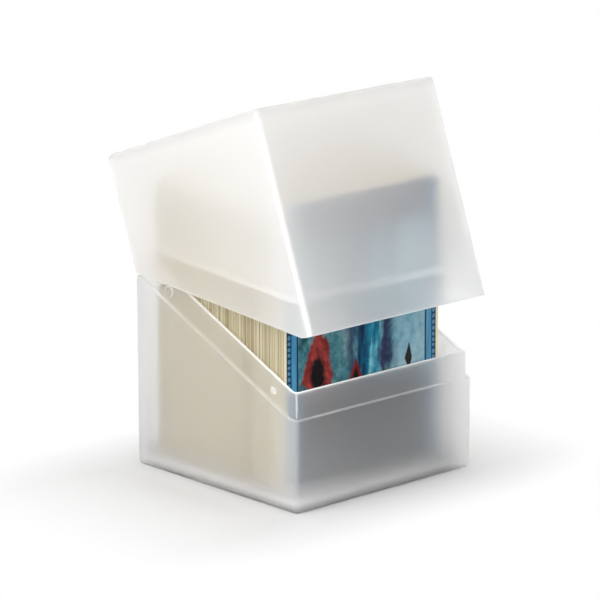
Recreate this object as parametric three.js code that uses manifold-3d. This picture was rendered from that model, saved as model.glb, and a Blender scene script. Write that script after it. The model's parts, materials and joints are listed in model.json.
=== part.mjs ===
// Card deck box: a base with an upstanding collar, a deep lid that turns on the base's rear rim,
// and the deck of sleeved cards that stands in the base.
// Millimetres, +Z up, front wall towards -Y. The origin is the centre of the base's underside.

import * as THREE from 'three';
import { mergeVertices } from 'three/addons/utils/BufferGeometryUtils.js';
import Module from 'manifold-3d';

const wasm = await Module();
wasm.setup();

// The deck
const cardWidth = 66;
const cardHeight = 92;
const cardThickness = 1.1;
const cardGap = 0.11;
const cardCount = 48;
const cardCornerRadius = 3;

// Walls
const floorThickness = 2;
const ceilingThickness = 2;
const lidWall = 1.9;
const lidBandWall = 1;
const collarThickness = 1.05;

// Clearances
const collarClearance = 0.45;
const seamGap = 0.3;
const deckSideClearance = 2;
const deckRearClearance = 3.9;
const deckHeadroom = 4;
const lidSwingClearance = 0.9;

// The seam on the outer walls: level over the front wall, a straight rise, level over the rear wall
const frontRimHeight = 29.5;
const rearRimHeight = 61.2;
const frontRimLevel = 3.5;
const rearRimLevel = 2.2;
const collarHeight = 8.4;
const lidBandHeight = 12.5;

// Edge roundings
const uprightEdgeRadius = 2;
const endEdgeRadius = 1.5;
const cavityEdgeRadius = 1;
const cavityEndRadius = cavityEdgeRadius / 2;

// Snap bosses on the collar's side walls. Each is placed from the front or rear wall and above the seam.
const bossProudness = 0.35;
const bossChamfer = 0.3;
const dimpleClearance = 0.25;
const dimpleDepth = 0.35;
const rearBoss = { radius: 1.95, fromRear: 15.2, aboveSeam: 3.45 };
const rearPip = { radius: 0.65, fromRear: 10.2, aboveSeam: 2.8 };
const frontBoss = { radius: 1.25, fromFront: 11.7, aboveSeam: 3.65 };

// How far the lid stands open
const lidOpenAngle = THREE.MathUtils.degToRad(20);

// Overall sizes, from the deck outwards. The lid turns on the top of the rear wall, so its front wall has to
// pass the deck's upper front edge: that sets the box's depth, and the free space in front of the deck.
const collarInset = lidBandWall + collarClearance;
const baseWall = collarInset + collarThickness;
const collarEdgeRadius = uprightEdgeRadius - collarInset;
const rebateEdgeRadius = uprightEdgeRadius - lidBandWall;
const deckDepth = cardCount * (cardThickness + cardGap) - cardGap;
const deckTop = floorThickness + cardHeight;
const boxWidth = cardWidth + 2 * (deckSideClearance + baseWall);
const boxHeight = deckTop + deckHeadroom + ceilingThickness;
const deckFrontReach = baseWall + deckRearClearance + deckDepth;
const boxDepth = Math.hypot(deckFrontReach, deckTop - rearRimHeight) + lidSwingClearance + lidWall;

const hingeY = boxDepth / 2;
const hingeZ = rearRimHeight;

const overcut = 5;
const cornerSegments = 5;
const edgeSegments = 3;
const cardCornerSegments = 3;
const bossSegments = 20;
const weldTolerance = 1e-4;

// ---- Solids from three.js geometry ----

function toSolid(geometry) {
  const bare = geometry.clone();
  bare.deleteAttribute('normal');
  bare.deleteAttribute('uv');
  const welded = mergeVertices(bare, weldTolerance);
  return new wasm.Manifold(new wasm.Mesh({
    numProp: 3,
    vertProperties: new Float32Array(welded.attributes.position.array),
    triVerts: new Uint32Array(welded.index.array),
  }));
}

function toGeometry(solid) {
  const mesh = solid.getMesh();
  const geometry = new THREE.BufferGeometry();
  geometry.setAttribute('position', new THREE.BufferAttribute(mesh.vertProperties, 3));
  geometry.setIndex(new THREE.BufferAttribute(mesh.triVerts, 1));
  geometry.computeVertexNormals();
  return geometry;
}

// A rectangle round the origin with its four corners rounded.
function roundedRectangle(width, height, radius) {
  const x = width / 2;
  const y = height / 2;
  const shape = new THREE.Shape();
  shape.moveTo(radius - x, -y);
  shape.lineTo(x - radius, -y);
  shape.absarc(x - radius, radius - y, radius, -Math.PI / 2, 0);
  shape.lineTo(x, y - radius);
  shape.absarc(x - radius, y - radius, radius, 0, Math.PI / 2);
  shape.lineTo(radius - x, y);
  shape.absarc(radius - x, y - radius, radius, Math.PI / 2, Math.PI);
  shape.lineTo(-x, radius - y);
  shape.absarc(radius - x, radius - y, radius, Math.PI, 1.5 * Math.PI);
  return shape;
}

// A block the size of the box less an inset on each wall, with rounded upright and end edges.
function block({ inset, bottom, top, uprightRadius, endRadius }) {
  const outline = roundedRectangle(boxWidth - 2 * inset, boxDepth - 2 * inset, uprightRadius);
  const geometry = new THREE.ExtrudeGeometry(outline, {
    depth: top - bottom - 2 * endRadius,
    curveSegments: cornerSegments,
    bevelEnabled: true,
    bevelThickness: endRadius,
    bevelSize: endRadius,
    bevelOffset: -endRadius,
    bevelSegments: edgeSegments,
  });
  geometry.translate(0, 0, bottom + endRadius);
  return toSolid(geometry);
}

// ---- The seam ----

const seamStartY = frontRimLevel - boxDepth / 2;
const seamEndY = boxDepth / 2 - rearRimLevel;
const seamSlope = (rearRimHeight - frontRimHeight) / (seamEndY - seamStartY);

function seamHeight(y) {
  return frontRimHeight + seamSlope * (THREE.MathUtils.clamp(y, seamStartY, seamEndY) - seamStartY);
}

// Everything below, or above, the seam line lifted by a height, right across the box.
function besideSeam(lift, limit) {
  const reach = boxDepth / 2 + overcut;
  const profile = new THREE.Shape();
  profile.moveTo(-reach, limit);
  profile.lineTo(-reach, frontRimHeight + lift);
  profile.lineTo(seamStartY, frontRimHeight + lift);
  profile.lineTo(seamEndY, rearRimHeight + lift);
  profile.lineTo(reach, rearRimHeight + lift);
  profile.lineTo(reach, limit);
  const width = boxWidth + 2 * overcut;
  const geometry = new THREE.ExtrudeGeometry(profile, { depth: width, bevelEnabled: false });
  geometry.translate(0, 0, -width / 2);
  const alongY = new THREE.Vector3(0, 1, 0);
  const alongZ = new THREE.Vector3(0, 0, 1);
  const alongX = new THREE.Vector3(1, 0, 0);
  geometry.applyMatrix4(new THREE.Matrix4().makeBasis(alongY, alongZ, alongX));
  return toSolid(geometry);
}

const belowSeam = (lift) => besideSeam(lift, -overcut);
const aboveSeam = (lift) => besideSeam(lift, boxHeight + overcut);

// ---- Snap bosses and their dimples ----

function bossPlaces() {
  const rear = ({ fromRear }) => boxDepth / 2 - fromRear;
  const places = [
    { radius: rearBoss.radius, y: rear(rearBoss), lift: rearBoss.aboveSeam },
    { radius: rearPip.radius, y: rear(rearPip), lift: rearPip.aboveSeam },
    { radius: frontBoss.radius, y: frontBoss.fromFront - boxDepth / 2, lift: frontBoss.aboveSeam },
  ];
  return places.flatMap((place) => [-1, 1].map((side) => ({ ...place, side })));
}

// A disc on a side wall, its axis along X, from one distance to another off the middle of the box.
function sideDisc({ y, lift, side }, innerRadius, outerRadius, from, to) {
  const disc = new THREE.CylinderGeometry(outerRadius, innerRadius, to - from, bossSegments);
  disc.rotateZ(-side * Math.PI / 2);
  disc.translate(side * (from + to) / 2, y, seamHeight(y) + lift);
  return toSolid(disc);
}

function boss(place) {
  const face = boxWidth / 2 - collarInset;
  const foot = sideDisc(place, place.radius, place.radius, face - collarThickness / 2, face);
  const head = sideDisc(place, place.radius, place.radius - bossChamfer, face, face + bossProudness);
  return foot.add(head);
}

function dimple(place) {
  const radius = place.radius + dimpleClearance;
  const face = boxWidth / 2 - lidBandWall;
  return sideDisc(place, radius, radius, face - collarClearance / 2, face + dimpleDepth);
}

// ---- Pieces ----

function baseShellGeometry() {
  const outside = block({
    inset: 0, bottom: 0, top: boxHeight, uprightRadius: uprightEdgeRadius, endRadius: endEdgeRadius,
  });
  const collarOutside = block({
    inset: collarInset,
    bottom: floorThickness / 2,
    top: boxHeight,
    uprightRadius: collarEdgeRadius,
    endRadius: collarEdgeRadius / 2,
  });
  const cavity = block({
    inset: baseWall,
    bottom: floorThickness,
    top: boxHeight + overcut,
    uprightRadius: cavityEdgeRadius,
    endRadius: cavityEndRadius,
  });
  let shell = outside.intersect(belowSeam(0));
  shell = shell.add(collarOutside.intersect(belowSeam(collarHeight)));
  for (const place of bossPlaces()) {
    shell = shell.add(boss(place));
  }
  return toGeometry(shell.subtract(cavity));
}

function lidShellGeometry() {
  const outside = block({
    inset: 0, bottom: 0, top: boxHeight, uprightRadius: uprightEdgeRadius, endRadius: endEdgeRadius,
  });
  const rebate = block({
    inset: lidBandWall,
    bottom: 0,
    top: boxHeight,
    uprightRadius: rebateEdgeRadius,
    endRadius: rebateEdgeRadius / 2,
  });
  const cavity = block({
    inset: lidWall,
    bottom: 0,
    top: boxHeight - ceilingThickness,
    uprightRadius: cavityEdgeRadius,
    endRadius: cavityEndRadius,
  });
  let shell = outside.intersect(aboveSeam(seamGap));
  shell = shell.subtract(rebate.intersect(belowSeam(lidBandHeight)));
  shell = shell.subtract(cavity);
  for (const place of bossPlaces()) {
    shell = shell.subtract(dimple(place));
  }
  return toGeometry(shell);
}

// One sleeved card standing on its short edge, its thickness along Y from zero.
function cardGeometry() {
  const outline = roundedRectangle(cardWidth, cardHeight, cardCornerRadius);
  const geometry = new THREE.ExtrudeGeometry(outline, {
    depth: cardThickness,
    curveSegments: cardCornerSegments,
    bevelEnabled: false,
  });
  geometry.rotateX(Math.PI / 2);
  geometry.translate(0, cardThickness, cardHeight / 2);
  return geometry;
}

// ---- Materials ----

function frostedPlastic() {
  return new THREE.MeshStandardMaterial({
    color: 0xe9eaea, roughness: 0.42, metalness: 0, transparent: true, opacity: 0.55,
  });
}

function cardStock(index) {
  const color = index === 0 ? 0x4c8fa6 : 0xe6dcb4;
  return new THREE.MeshStandardMaterial({ color, roughness: 0.55, metalness: 0 });
}

// ---- Assembly ----

const deckBox = new THREE.Group();

const base = new THREE.Mesh(baseShellGeometry(), frostedPlastic());
base.name = 'base_shell';
deckBox.add(base);

const lidOnHinge = new THREE.Group();
lidOnHinge.position.set(0, hingeY, hingeZ);
lidOnHinge.rotation.x = -lidOpenAngle;
deckBox.add(lidOnHinge);

const lid = new THREE.Mesh(lidShellGeometry(), frostedPlastic());
lid.name = 'lid_shell';
lid.position.set(0, -hingeY, -hingeZ);
lidOnHinge.add(lid);

const deckRearY = boxDepth / 2 - baseWall - deckRearClearance;
for (let index = 0; index < cardCount; index += 1) {
  const card = new THREE.Mesh(cardGeometry(), cardStock(index));
  card.name = `card_${String(index + 1).padStart(2, '0')}`;
  const y = deckRearY - deckDepth + index * (cardThickness + cardGap);
  card.position.set(0, y, floorThickness);
  deckBox.add(card);
}

export default deckBox;
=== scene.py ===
"""Looks for a frosted card deck box: two plastic shells and a deck of sleeved cards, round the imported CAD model."""

import json
import math

import bpy
import numpy as np
from mathutils import Matrix, Vector


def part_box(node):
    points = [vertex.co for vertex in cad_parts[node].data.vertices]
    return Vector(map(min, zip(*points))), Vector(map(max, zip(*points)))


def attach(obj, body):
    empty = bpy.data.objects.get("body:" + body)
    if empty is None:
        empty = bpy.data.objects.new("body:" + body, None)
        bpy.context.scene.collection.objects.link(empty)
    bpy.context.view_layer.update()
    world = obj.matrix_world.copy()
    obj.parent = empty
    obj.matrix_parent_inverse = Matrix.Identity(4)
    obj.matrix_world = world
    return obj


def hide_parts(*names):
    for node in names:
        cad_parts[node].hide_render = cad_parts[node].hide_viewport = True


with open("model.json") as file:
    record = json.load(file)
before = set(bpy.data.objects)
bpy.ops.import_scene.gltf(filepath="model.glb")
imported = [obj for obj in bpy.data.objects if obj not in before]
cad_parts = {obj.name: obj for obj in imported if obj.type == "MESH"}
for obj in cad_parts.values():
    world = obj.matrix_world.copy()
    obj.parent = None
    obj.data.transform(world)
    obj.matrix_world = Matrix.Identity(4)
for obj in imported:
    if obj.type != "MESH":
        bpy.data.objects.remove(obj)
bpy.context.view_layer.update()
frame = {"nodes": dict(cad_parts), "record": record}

MM = 0.001

# ---- Sizes, in metres ----

base_low, base_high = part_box("base_shell")
WIDTH = base_high.x - base_low.x
DEPTH = base_high.y - base_low.y

joint = frame["record"]["behaviour"]["joints"][0]
HINGE = Vector(joint["pos_m"])
LID_TILT = -math.radians(joint["range_deg"][0])

SEAM_FRONT = 29.5 * MM
SEAM_REAR = HINGE.z
SEAM_START = 3.5 * MM - DEPTH / 2
SEAM_END = DEPTH / 2 - 2.2 * MM
SEAM_BEND = 0.45 * MM
SEAM_GAP = 0.3 * MM
COLLAR_HEIGHT = base_high.z - SEAM_REAR
BAND_HEIGHT = 12.5 * MM

FLOOR = 2 * MM
CEILING = 2 * MM
LID_WALL = 1.9 * MM
LID_BAND = 1 * MM
COLLAR_INSET = 1.45 * MM
COLLAR_THICKNESS = 1.05 * MM
BASE_WALL = COLLAR_INSET + COLLAR_THICKNESS

UPRIGHT_RADIUS = 2 * MM
END_RADIUS = 1.5 * MM
CAVITY_RADIUS = 1 * MM
RIM_RADIUS = 0.22 * MM
STEP_RADIUS = 0.3 * MM
# Rings this far beside a rounding keep the flat wall's shading flat
HOLD = 0.06 * MM
# Rings this far from an edge keep its milkiness off the rest of the wall
EDGE_BAND = 1.2 * MM
# How far from the corners the side walls' points stop, and the front's and rear's steps away from the corner arcs
SIDE_STOP = 4 * MM
WALL_STEPS = np.array([0.06, 0.6, 1.2, 1.8, 2.4, 3.6, 5.6, 8, 12]) * MM
# Centre and inset of the ring that rims the lid's top and ceiling
CAP_RING = (3.9 * MM, 3.2 * MM)

BOSS_PROUD = 0.35 * MM
DIMPLE_CLEARANCE = 0.25 * MM
DIMPLE_DEPTH = 0.35 * MM
DIMPLE_START = 0.2 * MM
BOSS_ROUNDING = 0.25 * MM
DIMPLE_ROUNDING = 0.15 * MM
WIDE_BOSS = 1.5 * MM
# Radius, place along Y, height above the seam
BOSSES = (
    (1.95 * MM, DEPTH / 2 - 15.2 * MM, 3.45 * MM),
    (0.65 * MM, DEPTH / 2 - 10.2 * MM, 2.8 * MM),
    (1.25 * MM, 11.7 * MM - DEPTH / 2, 3.65 * MM),
)

CARD_CORNER = 3 * MM
CARD_ROUNDING = 0.08 * MM
CARD_TRIM = 0.35 * MM
CARD_SPLIT = 0.03 * MM
CARD_PITCH = 0.56 * MM

# Milkiness, from 0 for clear to 1
BASE_HAZE = 0.11
COLLAR_HAZE = 0.12
LID_HAZE = 0.36
BAND_HAZE = 0.28
MOST_WALL_HAZE = 0.89
DIMPLE_HAZE = 0.6
# How far above the seam the lid turns milkier
MILK_LINE = 10.9 * MM
# The reach of the bells that pick out a wall by its outer face: tight for milkiness, wide for the painted shade
SIDE_REACH = 1.2 * MM
PAINTED_SHADE_REACH = 2.8 * MM

# The studio sky's strength at its darkest and brightest, and the way to the brightest
SKY_LOW = 0.4
SKY_HIGH = 1.42
SKY_WAY = Vector((-0.7, 0.0, 0.72)).normalized()

ARC_STEPS = 7
FILLET_STEPS = 5
DISC_STEPS = 40
SMOOTH_ANGLE = 35


def turned(points, angle):
    """The points turned about the hinge, which runs along X, from Y towards Z."""
    y, z = points[:, 1] - HINGE.y, points[:, 2] - HINGE.z
    c, s = math.cos(angle), math.sin(angle)
    return np.column_stack((points[:, 0], HINGE.y + y * c - z * s, HINGE.z + y * s + z * c))


def mesh_points(mesh):
    points = np.empty(len(mesh.vertices) * 3)
    mesh.vertices.foreach_get("co", points)
    return points.reshape(-1, 3)


HEIGHT = turned(mesh_points(frame["nodes"]["lid_shell"].data), LID_TILT)[:, 2].max()


# ---- Meshes from numpy grids ----

def seam_height(y):
    """Level, then a straight rise, then level. Both bends are rounded: each is a square-root hinge curve
    (t + sqrt(t^2 + bend^2)) / 2 in place of max(t, 0)."""
    slope = (SEAM_REAR - SEAM_FRONT) / (SEAM_END - SEAM_START)
    start, end = ((t + np.sqrt(t * t + SEAM_BEND**2)) / 2 for t in (y - SEAM_START, y - SEAM_END))
    return SEAM_FRONT + slope * (start - end)


def level(height):
    return lambda y: np.full_like(y, height)


def over_seam(lift):
    return lambda y: seam_height(y) + lift


def ring(centre, inset, height):
    """One closed ring, anticlockwise from above: a rectangle inset from the outer walls. Its corner arcs are centred a
    fixed way in from the walls, less than the side stop, so their radius is that distance less the inset. height(y)
    gives each point's Z."""
    x, y, radius = WIDTH / 2 - centre, DEPTH / 2 - centre, centre - inset
    turn = np.linspace(0, math.pi / 2, ARC_STEPS + 1)
    side = np.concatenate((np.linspace(-1, -0.86, 8), np.linspace(-0.8, 0.8, 9), np.linspace(0.86, 1, 8)))
    side = side * (DEPTH / 2 - SIDE_STOP)
    held = np.concatenate((WALL_STEPS - x, (x - WALL_STEPS)[::-1]))
    outline = []
    for corner, (sx, sy) in enumerate(((1, -1), (1, 1), (-1, 1), (-1, -1))):
        angle = turn + (corner - 1) * math.pi / 2
        outline.append(np.column_stack((sx * x + radius * np.cos(angle), sy * y + radius * np.sin(angle))))
        if corner % 2 == 0:
            along = side if sx > 0 else -side
            outline.append(np.column_stack((np.full(side.size, sx * (x + radius)), along)))
        else:
            along = -held if sy > 0 else held
            outline.append(np.column_stack((along, np.full(held.size, sy * (y + radius)))))
    flat = np.concatenate(outline)
    return np.column_stack((flat, height(flat[:, 1])))


def loft(rings):
    """Vertices and faces of the closed skin over a stack of equal rings: quads between neighbours, one flat face at
    each end. The skin faces out where the rings run anticlockwise and climb on the outside."""
    count = len(rings[0])
    vertices = np.concatenate(rings)
    row = np.arange(len(rings) - 1)[:, None] * count
    step = np.arange(count)[None, :]
    after = (step + 1) % count
    quads = np.stack((row + step, row + after, row + count + after, row + count + step), axis=-1).reshape(-1, 4)
    faces = quads.tolist()
    faces.append(list(range(count - 1, -1, -1)))
    faces.append(list(range(len(vertices) - count, len(vertices))))
    return vertices, faces


def join(parts):
    """Several (vertices, faces) in one."""
    vertices, faces, offset = [], [], 0
    for points, polygons in parts:
        vertices.append(points)
        faces += [[i + offset for i in polygon] for polygon in polygons]
        offset += len(points)
    return np.concatenate(vertices), faces


def shade_smooth(mesh, degrees=SMOOTH_ANGLE):
    """Smooth, except across edges sharper than the angle."""
    mesh.polygons.foreach_set("use_smooth", np.ones(len(mesh.polygons), bool))
    mesh.set_sharp_from_angle(angle=math.radians(degrees))


def piece(name, shape, material, smooth_angle=SMOOTH_ANGLE):
    """A new object at the origin with that shape, smooth except across sharper edges than the angle."""
    vertices, faces = shape
    mesh = bpy.data.meshes.new(name)
    mesh.from_pydata(vertices.tolist(), [], faces)
    shade_smooth(mesh, smooth_angle)
    mesh.materials.append(material)
    mesh.update()
    made = bpy.data.objects.new(name, mesh)
    bpy.context.collection.objects.link(made)
    return made


def quarter(steps=FILLET_STEPS):
    """Sine and cosine at even steps of a quarter turn."""
    angles = np.linspace(0, math.pi / 2, steps + 1)
    return zip(np.sin(angles), np.cos(angles))


def base_shape():
    """The base's profile carried round the box: underside, outer wall up to the seam, shoulder, collar, inner wall,
    floor. Each rounded edge is a quarter circle in inset and height."""
    outer, inner = UPRIGHT_RADIUS, BASE_WALL + CAVITY_RADIUS
    rows = [(outer, END_RADIUS + HOLD, level(0))]
    rows += [(outer, END_RADIUS * (1 - s), level(END_RADIUS * (1 - c))) for s, c in quarter()]
    rows += [(outer, 0, level(height)) for height in (END_RADIUS + HOLD, 3 * MM, 5 * MM, 7 * MM, 10 * MM, 15 * MM)]
    rows += [(outer, 0, over_seam(-EDGE_BAND)), (outer, 0, over_seam(-RIM_RADIUS - HOLD))]
    rows += [(outer, RIM_RADIUS * (1 - c), over_seam(RIM_RADIUS * (s - 1))) for s, c in quarter()]
    foot = COLLAR_INSET - RIM_RADIUS
    rows += [(outer, RIM_RADIUS + HOLD, over_seam(0)), (outer, foot - HOLD, over_seam(0))]
    rows += [(outer, foot + RIM_RADIUS * s, over_seam(RIM_RADIUS * (1 - c))) for s, c in quarter()]
    top = COLLAR_HEIGHT - RIM_RADIUS
    rows += [(outer, COLLAR_INSET, over_seam(lift))
             for lift in (RIM_RADIUS + HOLD, EDGE_BAND, COLLAR_HEIGHT - EDGE_BAND, top - HOLD)]
    rows += [(outer, COLLAR_INSET + RIM_RADIUS * (1 - c), over_seam(top + RIM_RADIUS * s)) for s, c in quarter()]
    rows += [(inner, BASE_WALL - RIM_RADIUS * (1 - s), over_seam(top + RIM_RADIUS * c)) for s, c in quarter()]
    bend = CAVITY_RADIUS / 2
    rows += [(inner, BASE_WALL, over_seam(top - HOLD)), (inner, BASE_WALL, over_seam(COLLAR_HEIGHT - EDGE_BAND))]
    rows += [(inner, BASE_WALL, level(height * MM)) for height in (15, 10, 5)]
    rows += [(inner, BASE_WALL, level(FLOOR + bend + HOLD))]
    rows += [(inner, BASE_WALL + bend * (1 - c), level(FLOOR + bend * (1 - s))) for s, c in quarter()]
    rows += [(inner, BASE_WALL + bend + HOLD, level(FLOOR))]
    return loft([ring(*row) for row in rows])


def lid_shape():
    """The closed lid's profile carried round the box: ceiling, inner wall down to the rebate, thin band, lower edge,
    outer wall, top. Each rounded edge is a quarter circle in inset and height."""
    outer, inner = UPRIGHT_RADIUS, LID_WALL + CAVITY_RADIUS
    ceiling, bend = HEIGHT - CEILING, CAVITY_RADIUS / 2
    rows = [(*CAP_RING, level(ceiling)), (inner, LID_WALL + bend + HOLD, level(ceiling))]
    rows += [(inner, LID_WALL + bend * (1 - s), level(ceiling - bend * (1 - c))) for s, c in quarter()]
    rows += [(inner, LID_WALL, level(ceiling - bend - HOLD))]
    step = BAND_HEIGHT + STEP_RADIUS
    rows += [(inner, LID_WALL, over_seam(BAND_HEIGHT + 2 * MM)), (inner, LID_WALL, over_seam(step + HOLD))]
    rows += [(inner, LID_WALL - STEP_RADIUS * (1 - c), over_seam(step - STEP_RADIUS * s)) for s, c in quarter()]
    rows += [(outer, LID_BAND + STEP_RADIUS * (1 - s), over_seam(BAND_HEIGHT - STEP_RADIUS * (1 - c)))
             for s, c in quarter()]
    edge = SEAM_GAP + RIM_RADIUS
    band = (BAND_HEIGHT - STEP_RADIUS - HOLD, MILK_LINE + 0.3 * MM, MILK_LINE - EDGE_BAND, 1.5 * MM, edge + HOLD)
    rows += [(outer, LID_BAND, over_seam(lift)) for lift in band]
    rows += [(outer, LID_BAND - RIM_RADIUS * (1 - c), over_seam(edge - RIM_RADIUS * s)) for s, c in quarter()]
    rows += [(outer, RIM_RADIUS * (1 - s), over_seam(edge - RIM_RADIUS * c)) for s, c in quarter()]
    outside = (edge + HOLD, 1.5 * MM, MILK_LINE - EDGE_BAND, MILK_LINE - 0.3 * MM, MILK_LINE + 0.3 * MM,
               MILK_LINE + 2 * MM)
    rows += [(outer, 0, over_seam(lift)) for lift in outside]
    rows += [(outer, 0, level(HEIGHT - 4 * MM)), (outer, 0, level(HEIGHT - END_RADIUS - HOLD))]
    rows += [(outer, END_RADIUS * (1 - c), level(HEIGHT - END_RADIUS * (1 - s))) for s, c in quarter()]
    rows += [(outer, END_RADIUS + HOLD, level(HEIGHT)), (*CAP_RING, level(HEIGHT))]
    return loft([ring(*row) for row in rows])


def disc_shape(side, y, z, foot, head, radius, rounding):
    """A disc on an X wall: a profile of radius against distance from the box's middle, turned round an axis along X.
    Its outer edge is a quarter circle."""
    angles = np.linspace(0, 2 * math.pi, DISC_STEPS, endpoint=False)
    profile = [(radius, foot), (radius, head - rounding)]
    profile += [(radius - rounding * (1 - c), head - rounding * (1 - s)) for s, c in quarter()]
    profile += [((radius - rounding) * share, head) for share in (0.8, 0.6, 0.4, 0.2)]
    return loft([
        np.column_stack((np.full(angles.size, side * out), y + r * np.cos(angles) * side, z + r * np.sin(angles)))
        for r, out in profile])


def cut_out(target, tool):
    """Cuts the tool's solid out of the target for good, and drops the tool."""
    step = target.modifiers.new("cut", "BOOLEAN")
    step.object, step.operation, step.solver = tool, "DIFFERENCE", "EXACT"
    graph = bpy.context.evaluated_depsgraph_get()
    made = bpy.data.meshes.new_from_object(target.evaluated_get(graph))
    target.modifiers.clear()
    target.data = made
    shade_smooth(made)
    bpy.data.objects.remove(tool)


def near(distance, reach):
    """A bell: 1 at no distance, falling to about a third at the reach."""
    return np.exp(-(distance / reach) ** 2)


def flank(points):
    """1 on the left and right walls' outer faces, falling inward by a bell."""
    return near(WIDTH / 2 - np.abs(points[:, 0]), SIDE_REACH)


def boss_place(boss):
    """A boss's radius and its middle along Y and Z."""
    radius, y, lift = boss
    return radius, y, float(seam_height(np.array(y))) + lift


def from_middle(points, y, z):
    """Each point's distance from a line along X."""
    return np.hypot(points[:, 1] - y, points[:, 2] - z)


def corner_haze(points, wide, inset=0):
    """How near each point is to an upright edge, by a flat-topped bell over its distance from the corner that far
    in."""
    beside = np.maximum(WIDTH / 2 - np.abs(points[:, 0]), DEPTH / 2 - np.abs(points[:, 1]))
    return near((beside - inset) ** 2, wide ** 2)


def side_haze(points, even, forward, wide):
    """What the left and right walls add: an even share, and a share that grows forward by a bell."""
    return flank(points) * (even + forward * near(points[:, 1] + DEPTH / 2, wide))


def base_haze(points):
    """The base's milkiness: a clear wall and collar, milkier beside and towards the foot, and bright lines along the
    rim, the collar's top and the upright edges of both."""
    lift = points[:, 2] - seam_height(points[:, 1])
    collar = lift > STEP_RADIUS
    haze = np.where(collar, COLLAR_HAZE, BASE_HAZE) + side_haze(points, 0.07, 0.22, 8 * MM)
    haze = np.maximum(haze, near(lift - COLLAR_HEIGHT, 0.28 * MM))
    haze = np.maximum(haze, 0.3 * near(lift, 0.25 * MM))
    haze = np.maximum(haze, 0.55 * corner_haze(points, 1.1 * MM))
    haze = np.maximum(haze, 0.9 * corner_haze(points, 0.5 * MM, COLLAR_INSET) * collar)
    foot = 0.75 * near(points[:, 2] - 3 * MM, 2.6 * MM)
    return np.maximum(haze, np.maximum(foot, 0.42 * near(points[:, 2], 8.5 * MM) * (points[:, 2] > 3 * MM)))


def base_painted_shade(points):
    """Painted shade on the base: the plastic's colour is greyed to stand in for shade, in bells over the rear left
    upright edge and the foot, down the right of the front wall and down the front of the right wall."""
    right, rear = WIDTH / 2 - points[:, 0], DEPTH / 2 - points[:, 1]
    below = points[:, 2] < seam_height(points[:, 1]) + STEP_RADIUS
    edge = 0.9 * near(np.maximum(WIDTH - right, rear), 9.5 * MM) * below
    front_wall = (0.12 + 0.88 * near(right - 12 * MM, 6 * MM)) * near(DEPTH - rear, PAINTED_SHADE_REACH)
    right_wall = near(DEPTH - rear - 12 * MM, 9.5 * MM) * near(right, PAINTED_SHADE_REACH)
    foot = near(points[:, 2], 0.7 * MM)
    return np.maximum(np.maximum(edge, foot), np.maximum(front_wall, right_wall))


def lid_haze(points):
    """The closed lid's milkiness: a clearer band below, a line above it, milkier walls on, more so beside and at the
    left of the front, less so at the right; pale discs in the hollows over the bosses."""
    lift = points[:, 2] - seam_height(points[:, 1])
    above = lift > MILK_LINE
    haze = np.where(above, LID_HAZE, BAND_HAZE) + side_haze(points, 0.1, 0.55, 45 * MM) * np.where(above, 1, 0.4)
    leftward = 0.18 * near(points[:, 0] + WIDTH / 2, 35 * MM) - 0.17 * near(points[:, 0] - WIDTH / 4, 18 * MM)
    haze = np.minimum(haze + leftward * near(points[:, 1] + DEPTH / 2, 2.4 * MM), MOST_WALL_HAZE)
    haze = np.maximum(haze, 0.6 * near(lift - MILK_LINE, 0.6 * MM))
    haze = np.maximum(haze, near(lift - SEAM_GAP, 0.28 * MM))
    haze = np.maximum(haze, corner_haze(points, 2 * MM))
    beside = np.abs(points[:, 0]) > WIDTH / 2 - LID_BAND
    for radius, y, z in map(boss_place, BOSSES):
        haze = np.where((from_middle(points, y, z) < 0.85 * radius) & beside, DIMPLE_HAZE, haze)
    return haze


def lid_painted_shade(points):
    """Painted shade on the lid: the colour greyed in a bell round the rim of the top panel."""
    beside = np.minimum(WIDTH / 2 - np.abs(points[:, 0]), DEPTH / 2 - np.abs(points[:, 1]))
    return near(HEIGHT - points[:, 2], 3 * MM) * near(beside, 2 * MM)


def lid_painted_card_light(points):
    """Painted light from the cards: how strongly the lid's side walls are tinted with the cards' cream, in bells over
    the middle of their length and height.
    """
    return flank(points) * near(points[:, 1] + 3 * MM, 30 * MM) * near(points[:, 2] - 66 * MM, 26 * MM)


def boss_haze(points):
    """A pale ring round the wide boss, pale small ones, half as pale on the right, clear plastic at their feet."""
    haze = np.zeros(len(points))
    for radius, y, z in map(boss_place, BOSSES):
        away = from_middle(points, y, z)
        ring_haze, disc_haze = near(away - radius + 0.25 * MM, 0.22 * MM), 0.75 * (away < 0.99 * radius)
        pale = ring_haze if radius > WIDE_BOSS else disc_haze
        haze = np.where(away < radius + HOLD, pale * np.where(points[:, 0] > 0, 0.5, 1), haze)
    return haze * (np.abs(points[:, 0]) > WIDTH / 2 - COLLAR_INSET + BOSS_PROUD / 3)


def carry(target, **formulas):
    """Writes each formula's value at each of the mesh's points to the attribute of its name."""
    points = mesh_points(target.data)
    for name, formula in formulas.items():
        values = target.data.attributes.new(name, "FLOAT", "POINT")
        values.data.foreach_set("value", formula(points).astype(np.float32))


# ---- Materials ----

class Value:
    """A socket that a number, a colour or a shader comes out of. Python's operators on a number add Math nodes."""

    def __init__(self, nodes, socket):
        self.nodes, self.socket = nodes, socket

    def math(self, operation, *others):
        return self.nodes.node("Math", {"operation": operation}, [self, *others])

    def __add__(self, other):
        return self.math("ADD", other)

    def __sub__(self, other):
        return self.math("SUBTRACT", other)

    def __rsub__(self, other):
        return self.nodes.node("Math", {"operation": "SUBTRACT"}, [other, self])

    def __mul__(self, other):
        return self.math("MULTIPLY", other)

    def __truediv__(self, other):
        return self.math("DIVIDE", other)

    def __rtruediv__(self, other):
        return self.nodes.node("Math", {"operation": "DIVIDE"}, [other, self])

    def __abs__(self):
        return self.math("ABSOLUTE")

    __radd__, __rmul__ = __add__, __mul__

    def over(self, edge, soft):
        """0 below the edge, 1 above it, with a soft step between."""
        return ((self - edge) / soft + 0.5).math("MINIMUM", 1).math("MAXIMUM", 0)

    def under(self, edge, soft):
        return 1 - self.over(edge, soft)


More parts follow.
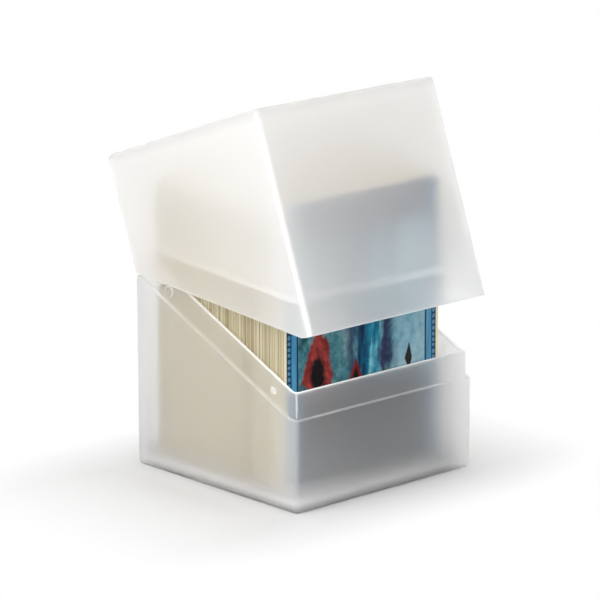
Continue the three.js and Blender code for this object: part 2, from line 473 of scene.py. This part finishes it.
class Nodes:
    """The node tree of a material or of the world."""

    def __init__(self, owner):
        owner.use_nodes = True
        self.tree = owner.node_tree

    def node(self, kind, settings=None, sockets=(), out=0):
        """Adds a shader node: its settings first, a ramp's stops among them, then the value or link of each socket, by
        order or by name. Gives the output asked for."""
        made = self.tree.nodes.new("ShaderNode" + kind)
        for key, value in (settings or {}).items():
            if key == "stops":
                elements = made.color_ramp.elements
                while len(elements) < len(value):
                    elements.new(0.5)
                for element, (place, colour) in zip(elements, value):
                    element.position, element.color = place, (*colour, 1)
            else:
                setattr(made, key, value)
        for key, value in sockets.items() if isinstance(sockets, dict) else enumerate(sockets):
            socket = made.inputs[key]
            if isinstance(value, Value):
                self.tree.links.new(value.socket, socket)
            else:
                socket.default_value = (*value, 1) if socket.type == "RGBA" else value
        return Value(self, made.outputs[out])

    def seen(self):
        """1 for the camera's own rays and for those that shine off or come through something, 0 for the rest."""
        camera, glossy, through = (
            self.node("LightPath", out=f"Is {ray} Ray") for ray in ("Camera", "Glossy", "Transmission"))
        return (camera + glossy + through).math("MINIMUM", 1)

    def show(self, shader):
        """Makes that shader the tree's own."""
        output = self.tree.nodes.get("Material Output") or self.tree.nodes["World Output"]
        self.tree.links.new(shader.socket, output.inputs["Surface"])


class Surface(Nodes):
    """A material with one Principled shader, whose sockets are set by name."""

    def __init__(self, name, **fixed):
        self.material = bpy.data.materials.new(name)
        super().__init__(self.material)
        self.shader = self.tree.nodes["Principled BSDF"]
        for socket, value in fixed.items():
            self.shader.inputs[socket.replace("_", " ")].default_value = value
        self.place = self.node("TexCoord", out="Object")
        self.x, self.y, self.z = (self.node("SeparateXYZ", sockets=[self.place], out=axis) for axis in "XYZ")

    def noise(self, scale, detail=2, roughness=0.5, stretch=(1, 1, 1), distortion=0):
        """Soft noise in the piece's own coordinates, drawn out along an axis where its stretch is below 1."""
        at = self.node("Mapping", sockets={"Vector": self.place, "Scale": stretch})
        return self.node("TexNoise", sockets={
            "Vector": at, "Scale": scale, "Detail": detail, "Roughness": roughness, "Distortion": distortion})

    def blend(self, factor, low, high):
        """The colour low where the factor is 0 and high where it is 1."""
        return self.node("Mix", {"data_type": "RGBA"}, {0: factor, 6: low, 7: high}, out=2)

    def ramp(self, factor, *stops):
        """A colour that changes through (place, colour) stops."""
        return self.node("ValToRGB", {"stops": stops}, [factor])

    def set(self, socket, value):
        self.tree.links.new(value.socket, self.shader.inputs[socket])

    def bump(self, height, distance, strength):
        return self.node("Bump", sockets={"Strength": strength, "Distance": distance, "Height": height})


def frosted_plastic():
    """Milky polypropylene: part of the light comes through blurred, the rest is scattered both ways. Where the haze
    attribute is high, more is scattered, and where it is highest, mostly outward; a second attribute greys it as
    painted shade, and a third tints it cream as painted light from the cards behind. Fine frosting in the bump, faint
    flow marks in the colour and roughness."""
    plastic = Surface("frosted_plastic", Transmission_Weight=1, IOR=1.25)
    haze, dense, warm = (
        plastic.node("Attribute", {"attribute_name": name}, out="Fac") for name in ("haze", "dense", "warm"))
    flow = plastic.noise(18, detail=3, stretch=(1, 1, 0.5))
    frosting = plastic.bump(plastic.noise(4200, detail=1), 0.00002, 0.4)
    tint = plastic.blend(flow, (0.99, 0.987, 0.99), (0.998, 0.996, 0.996))
    # Painted light from the cards behind: the clear share's colour turns cream
    tint = plastic.blend(warm, tint, (0.998, 0.985, 0.945))
    # Painted shade: the clear share's colour greys
    plastic.set("Base Color", plastic.blend(dense, tint, (0.78, 0.78, 0.785)))
    plastic.set("Roughness", 0.62 + 0.06 * flow)
    plastic.set("Normal", frosting)
    white = plastic.blend(flow, (0.96, 0.952, 0.95), (0.985, 0.978, 0.97))
    # Painted light from the cards behind: the milky colour turns cream
    white = plastic.blend(warm, white, (0.99, 0.965, 0.90))
    # Painted shade: the scattered share's colour greys too
    front_lit = plastic.node("BsdfPrincipled", sockets={
        "Base Color": plastic.blend(dense, white, (0.68, 0.68, 0.685)), "Roughness": 0.45 + 0.05 * flow,
        "Specular IOR Level": 0.15, "Normal": frosting})
    back_lit = plastic.node("BsdfTranslucent", sockets={"Color": (0.965, 0.96, 0.955)})
    milk = plastic.node("MixShader", sockets=[0.5 - 0.35 * haze.over(0.93, 0.06), front_lit, back_lit])
    clear = Value(plastic, plastic.shader.outputs[0])
    plastic.show(plastic.node("MixShader", sockets=[haze * (0.94 + 0.12 * flow), clear, milk]))
    return plastic.material


def card_edge():
    """Cut edges of card stock in clear sleeves: cream, a tint of its own for each card, fine lines along each."""
    stock = Surface("card_edge", Roughness=0.5)
    index = (stock.y / CARD_PITCH).math("FLOOR")
    tint = stock.node("TexWhiteNoise", {"noise_dimensions": "1D"}, {"W": index}, out="Value")
    stripe = (stock.y / CARD_PITCH).math("FRACT")
    core = abs(stripe - 0.45).under(0.16, 0.1)
    cream = stock.ramp(
        tint, (0.0, (0.30, 0.245, 0.13)), (0.3, (0.44, 0.375, 0.22)), (0.7, (0.56, 0.50, 0.33)),
        (1.0, (0.68, 0.63, 0.47)))
    fibre = stock.noise(900, detail=3, stretch=(1, 1, 0.1))
    worn = stock.blend(fibre * 0.3, cream, (0.70, 0.65, 0.48))
    stock.set("Base Color", stock.blend(core * 0.55, worn, (0.24, 0.18, 0.09)))
    stock.set("Roughness", 0.4 + 0.25 * fibre)
    stock.set("Normal", stock.bump(fibre, 0.00005, 0.5))
    return stock.material


def card_print(card_low, card_high):
    """A made-up printed face behind a clear sleeve: marbled sea colours with pale upright streaks, lozenges in red,
    beaded side borders and a dark panel below. Places are shares of the card's width from the left, u, and of its
    height from the foot, v."""
    face = Surface("card_print", Specular_IOR_Level=0.08, Coat_Weight=0.03, Coat_Roughness=0.15)
    width, height = card_high.x - card_low.x, card_high.z - card_low.z
    u, v = (face.x - card_low.x) / width, (face.z - card_low.z) / height
    swirl = face.noise(45, detail=6, roughness=0.62, distortion=1.6)
    cloud = face.noise(70, detail=5, roughness=0.6, distortion=0.8)
    streak = face.noise(210, detail=4, roughness=0.6, stretch=(1, 1, 0.12), distortion=0.5)
    sway = (swirl - 0.5) * 0.1
    picture = face.ramp(
        swirl, (0.36, (0.010, 0.045, 0.06)), (0.46, (0.03, 0.13, 0.16)), (0.56, (0.08, 0.23, 0.26)),
        (0.72, (0.30, 0.43, 0.45)))
    mist = face.ramp(cloud, (0.3, (0.07, 0.27, 0.35)), (0.4, (0.20, 0.37, 0.45)), (0.7, (0.32, 0.47, 0.54)))
    misty = (u + sway).over(0.7, 0.06)
    picture = face.blend(misty, picture, mist)
    picture = face.blend(abs(u + sway * 1.6 - 0.64).under(0.035, 0.05), picture, (0.02, 0.03, 0.085))
    fall = face.ramp(
        streak, (0.38, (0.002, 0.02, 0.06)), (0.46, (0.004, 0.10, 0.19)), (0.54, (0.015, 0.24, 0.36)),
        (0.62, (0.26, 0.60, 0.66)))
    picture = face.blend(abs(u + sway - 0.54).under(0.075, 0.04), picture, fall)
    picture = face.blend(abs(u + sway - 0.44).under(0.02, 0.05), picture, (0.025, 0.04, 0.10))
    # Each lozenge's middle and half widths in u and v, and how far out its dark heart reaches
    lozenges = (0.22, 0.38, 0.105, 0.27, 0.55), (0.46, 0.35, 0.04, 0.07, 0.5), (0.8, 0.38, 0.025, 0.045, 1.1)
    for middle_u, middle_v, half_u, half_v, heart in lozenges:
        reach = abs(u + sway * 0.5 - middle_u) / half_u + abs(v - middle_v) / half_v + (cloud - 0.5) * 1.2
        coat = face.blend(cloud.over(0.5, 0.2), (0.19, 0.017, 0.015), (0.34, 0.045, 0.038))
        picture = face.blend(reach.under(0.95, 0.14), picture, coat)
        picture = face.blend(reach.under(heart, 0.25), picture, (0.006, 0.004, 0.005))
    daub = face.ramp(face.noise(380, detail=6, roughness=0.72), (0.36, (0.34, 0.36, 0.42)), (0.6, (1.0, 1.0, 1.0)))
    picture = face.node(
        "Mix", {"data_type": "RGBA", "blend_type": "MULTIPLY"}, {0: 0.8 - 0.5 * misty, 6: picture, 7: daub}, out=2)
    title = v.over(0.86, 0.03)
    picture = face.blend(title * 0.85, picture, (0.035, 0.045, 0.065))
    panel = v.under(0.35, 0.03)
    # The panel is printed near black; its grey towards the card's foot is painted light from the floor, coming in low
    # through the base's front
    panel_with_painted_floor_light = face.ramp(v, (0.03, (0.16, 0.165, 0.17)), (0.2, (0.008, 0.009, 0.012)))
    picture = face.blend(panel * 0.95, picture, panel_with_painted_floor_light)
    side = abs(u - 0.5)
    border = side.over(0.405, 0.004)
    bead = (v * 46 + (cloud - 0.5) * 2.5).math("FRACT") - 0.5
    across = (side - 0.464) / 0.011
    round_bead = (across * across + bead * bead * 6).under(0.7, 0.5)
    band = face.blend(round_bead, (0.008, 0.035, 0.085), (0.07, 0.20, 0.34))
    rail = side.under(0.449, 0.004)
    band = face.blend(rail, band, face.blend(streak.over(0.5, 0.2), (0.04, 0.19, 0.33), (0.08, 0.29, 0.46)))
    line = abs(side - 0.411).under(0.005, 0.003)
    band = face.blend(line, band, (0.006, 0.03, 0.06))
    picture = face.blend(border, picture, band)
    picture = face.blend(side.over(0.479, 0.003), picture, (0.74, 0.66, 0.44))
    face.set("Base Color", picture)
    face.set("Roughness", 0.32 + 0.1 * swirl)
    return face.material


# ---- Pieces ----

def make_shells(plastic):
    """Base, lid and bosses. The lid is shaped closed, its dimples are cut, and it is turned up to its resting tilt."""
    base = piece("frosted_base", base_shape(), plastic)
    lid = piece("frosted_lid", lid_shape(), plastic)
    collar_face = WIDTH / 2 - COLLAR_INSET
    band_face = WIDTH / 2 - LID_BAND
    bosses = []
    for radius, y, z in map(boss_place, BOSSES):
        for side in (-1, 1):
            bosses.append(disc_shape(
                side, y, z, collar_face - COLLAR_THICKNESS / 2, collar_face + BOSS_PROUD, radius, BOSS_ROUNDING))
            hollow = disc_shape(
                side, y, z, band_face - DIMPLE_START, band_face + DIMPLE_DEPTH, radius + DIMPLE_CLEARANCE,
                DIMPLE_ROUNDING)
            cut_out(lid, piece("dimple", hollow, plastic))
    carry(base, haze=base_haze, dense=base_painted_shade)
    carry(lid, haze=lid_haze, dense=lid_painted_shade, warm=lid_painted_card_light)
    lid.data.vertices.foreach_set("co", turned(mesh_points(lid.data), -LID_TILT).ravel())
    lid.data.update()
    bosses = piece("collar_bosses", join(bosses), plastic)
    carry(bosses, haze=boss_haze, dense=lambda points: np.zeros(len(points)))
    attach(bosses, "base")
    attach(base, "base")
    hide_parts("base_shell")
    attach(lid, "lid")
    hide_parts("lid_shell")


def slab_shape(low, high, corner, rounding):
    """A thin upright card between two corners: a rounded rectangle in X and Z carried along Y, its rim a quarter
    circle at both faces."""
    middle = (low + high) / 2
    half_x, half_z = (high[0] - low[0]) / 2 - corner, (high[2] - low[2]) / 2 - corner
    turn = np.linspace(0, math.pi / 2, 5)
    corners = []
    for quarters, (sx, sz) in enumerate(((1, 1), (-1, 1), (-1, -1), (1, -1))):
        angle = turn + quarters * math.pi / 2
        corners.append(np.column_stack((np.cos(angle), np.sin(angle), np.full(5, sx), np.full(5, sz))))
    cos, sin, sx, sz = np.concatenate(corners).T
    rings = []
    for inset, y in ((rounding, high[1]), (0, high[1] - rounding), (0, low[1] + rounding), (rounding, low[1])):
        x = middle[0] + sx * half_x + (corner - inset) * cos
        z = middle[2] + sz * half_z + (corner - inset) * sin
        rings.append(np.column_stack((x, np.full(x.size, y), z)))
    return loft(rings)


def make_cards():
    """Each CAD card holds two thin sleeved cards, a little out of line with their neighbours."""
    random = np.random.default_rng(7)
    edge = card_edge()
    names = sorted(name for name in frame["nodes"] if name.startswith("card_"))
    front_low, front_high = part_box(names[0])
    printed = card_print(front_low, front_high)
    for name in names:
        low, high = (np.array(corner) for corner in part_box(name))
        middle = (low[1] + high[1]) / 2
        slabs = []
        for front, back in ((low[1], middle - CARD_SPLIT), (middle + CARD_SPLIT, high[1])):
            trim = random.uniform(0, CARD_TRIM, 3)
            slab_low = np.array([low[0] + trim[0], front, low[2]])
            slab_high = np.array([high[0] - trim[1], back, high[2] - trim[2]])
            slabs.append(slab_shape(slab_low, slab_high, CARD_CORNER, CARD_ROUNDING))
        cards = piece("sleeved_" + name, join(slabs), edge, smooth_angle=50)
        if name == names[0]:
            cards.data.materials.append(printed)
            facing = np.empty(len(cards.data.polygons) * 3)
            cards.data.polygons.foreach_get("normal", facing)
            forward = (facing.reshape(-1, 3)[:, 1] < -0.9).astype(np.int32)
            cards.data.polygons.foreach_set("material_index", forward)
        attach(cards, "base")
        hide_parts(name)


# ---- Studio ----

def make_floor():
    """A pale floor that keeps the shadow round the box. It fades to white with the distance from a footprint a little
    to the left, along an ellipse that is longer across."""
    half, shift, across, along = 3.0, 0.01, 0.056, 0.029
    corners = np.array([(-half, -half, 0), (half, -half, 0), (half, half, 0), (-half, half, 0)])
    paper = Surface("studio_floor", Roughness=0.6)
    paper.shader.inputs["Base Color"].default_value = (0.62, 0.62, 0.62, 1)
    beside = (abs(paper.x + shift) - WIDTH / 2).math("MAXIMUM", 0) / across
    before = (abs(paper.y) - DEPTH / 2).math("MAXIMUM", 0) / along
    fade = (beside * beside + before * before).math("SQRT").math("MINIMUM", 1)
    matt = Value(paper, paper.shader.outputs[0])
    glow = paper.node("Emission", sockets={"Color": (1, 1, 1), "Strength": 1.0})
    paper.show(paper.node("MixShader", sockets=[paper.seen() * fade, matt, glow]))
    floor = piece("studio_floor", (corners, [[0, 1, 2, 3]]), paper.material)


def make_world():
    """A soft studio sky, brightest overhead towards the left: its strength grows evenly with how near a direction is
    to that one. The camera, and what shines or shows it through, sees it white."""
    world = bpy.data.worlds.new("studio")
    bpy.context.scene.world = world
    sky = Nodes(world)
    direction = sky.node("TexCoord", out="Generated")
    along = sky.node("VectorMath", {"operation": "DOT_PRODUCT"}, [direction, SKY_WAY], out="Value")
    strength = SKY_LOW + (SKY_HIGH - SKY_LOW) / 2 * (along + 1)
    light = sky.node("Background", sockets={"Color": (1, 1, 1), "Strength": strength})
    white = sky.node("Background", sockets={"Color": (1, 1, 1), "Strength": 1.0})
    sky.show(sky.node("MixShader", sockets=[sky.seen(), light, white]))


def make_lamp(name, place, aim, size, power):
    """A square area lamp that faces the aim."""
    data = bpy.data.lights.new(name, "AREA")
    data.shape, data.size, data.energy = "SQUARE", size, power
    lamp = bpy.data.objects.new(name, data)
    lamp.location = place
    lamp.rotation_euler = (Vector(aim) - Vector(place)).to_track_quat("-Z", "Y").to_euler()
    bpy.context.collection.objects.link(lamp)


def make_camera():
    """A long lens from the front left and above, by heading, pitch and roll."""
    data = bpy.data.cameras.new("camera")
    data.sensor_width, data.lens = 36, 234.3
    data.clip_start, data.clip_end = 0.05, 20
    camera = bpy.data.objects.new("camera", data)
    heading, pitch, roll = math.radians(42.40), math.radians(-14.61), math.radians(-0.16)
    forward = Vector((
        math.sin(heading) * math.cos(pitch), math.cos(heading) * math.cos(pitch), math.sin(pitch)))
    right = Vector((math.cos(heading), -math.sin(heading), 0))
    up = right.cross(forward)
    across = right * math.cos(roll) + up * math.sin(roll)
    upward = up * math.cos(roll) - right * math.sin(roll)
    turn = Matrix((across, upward, -forward)).transposed().to_4x4()
    camera.matrix_world = Matrix.Translation((-0.7985, -0.8728, 0.3622)) @ turn
    bpy.context.collection.objects.link(camera)
    bpy.context.scene.camera = camera


make_camera()
make_world()
make_floor()
make_shells(frosted_plastic())
make_cards()
make_lamp("key", (-0.7, 0.1, 0.6), (0, 0, 0.06), 0.5, 2.5)
make_lamp("fill", (0.4, -0.8, 0.6), (0, 0, 0.06), 0.6, 1.4)

bpy.context.scene.view_settings.view_transform = "Standard"
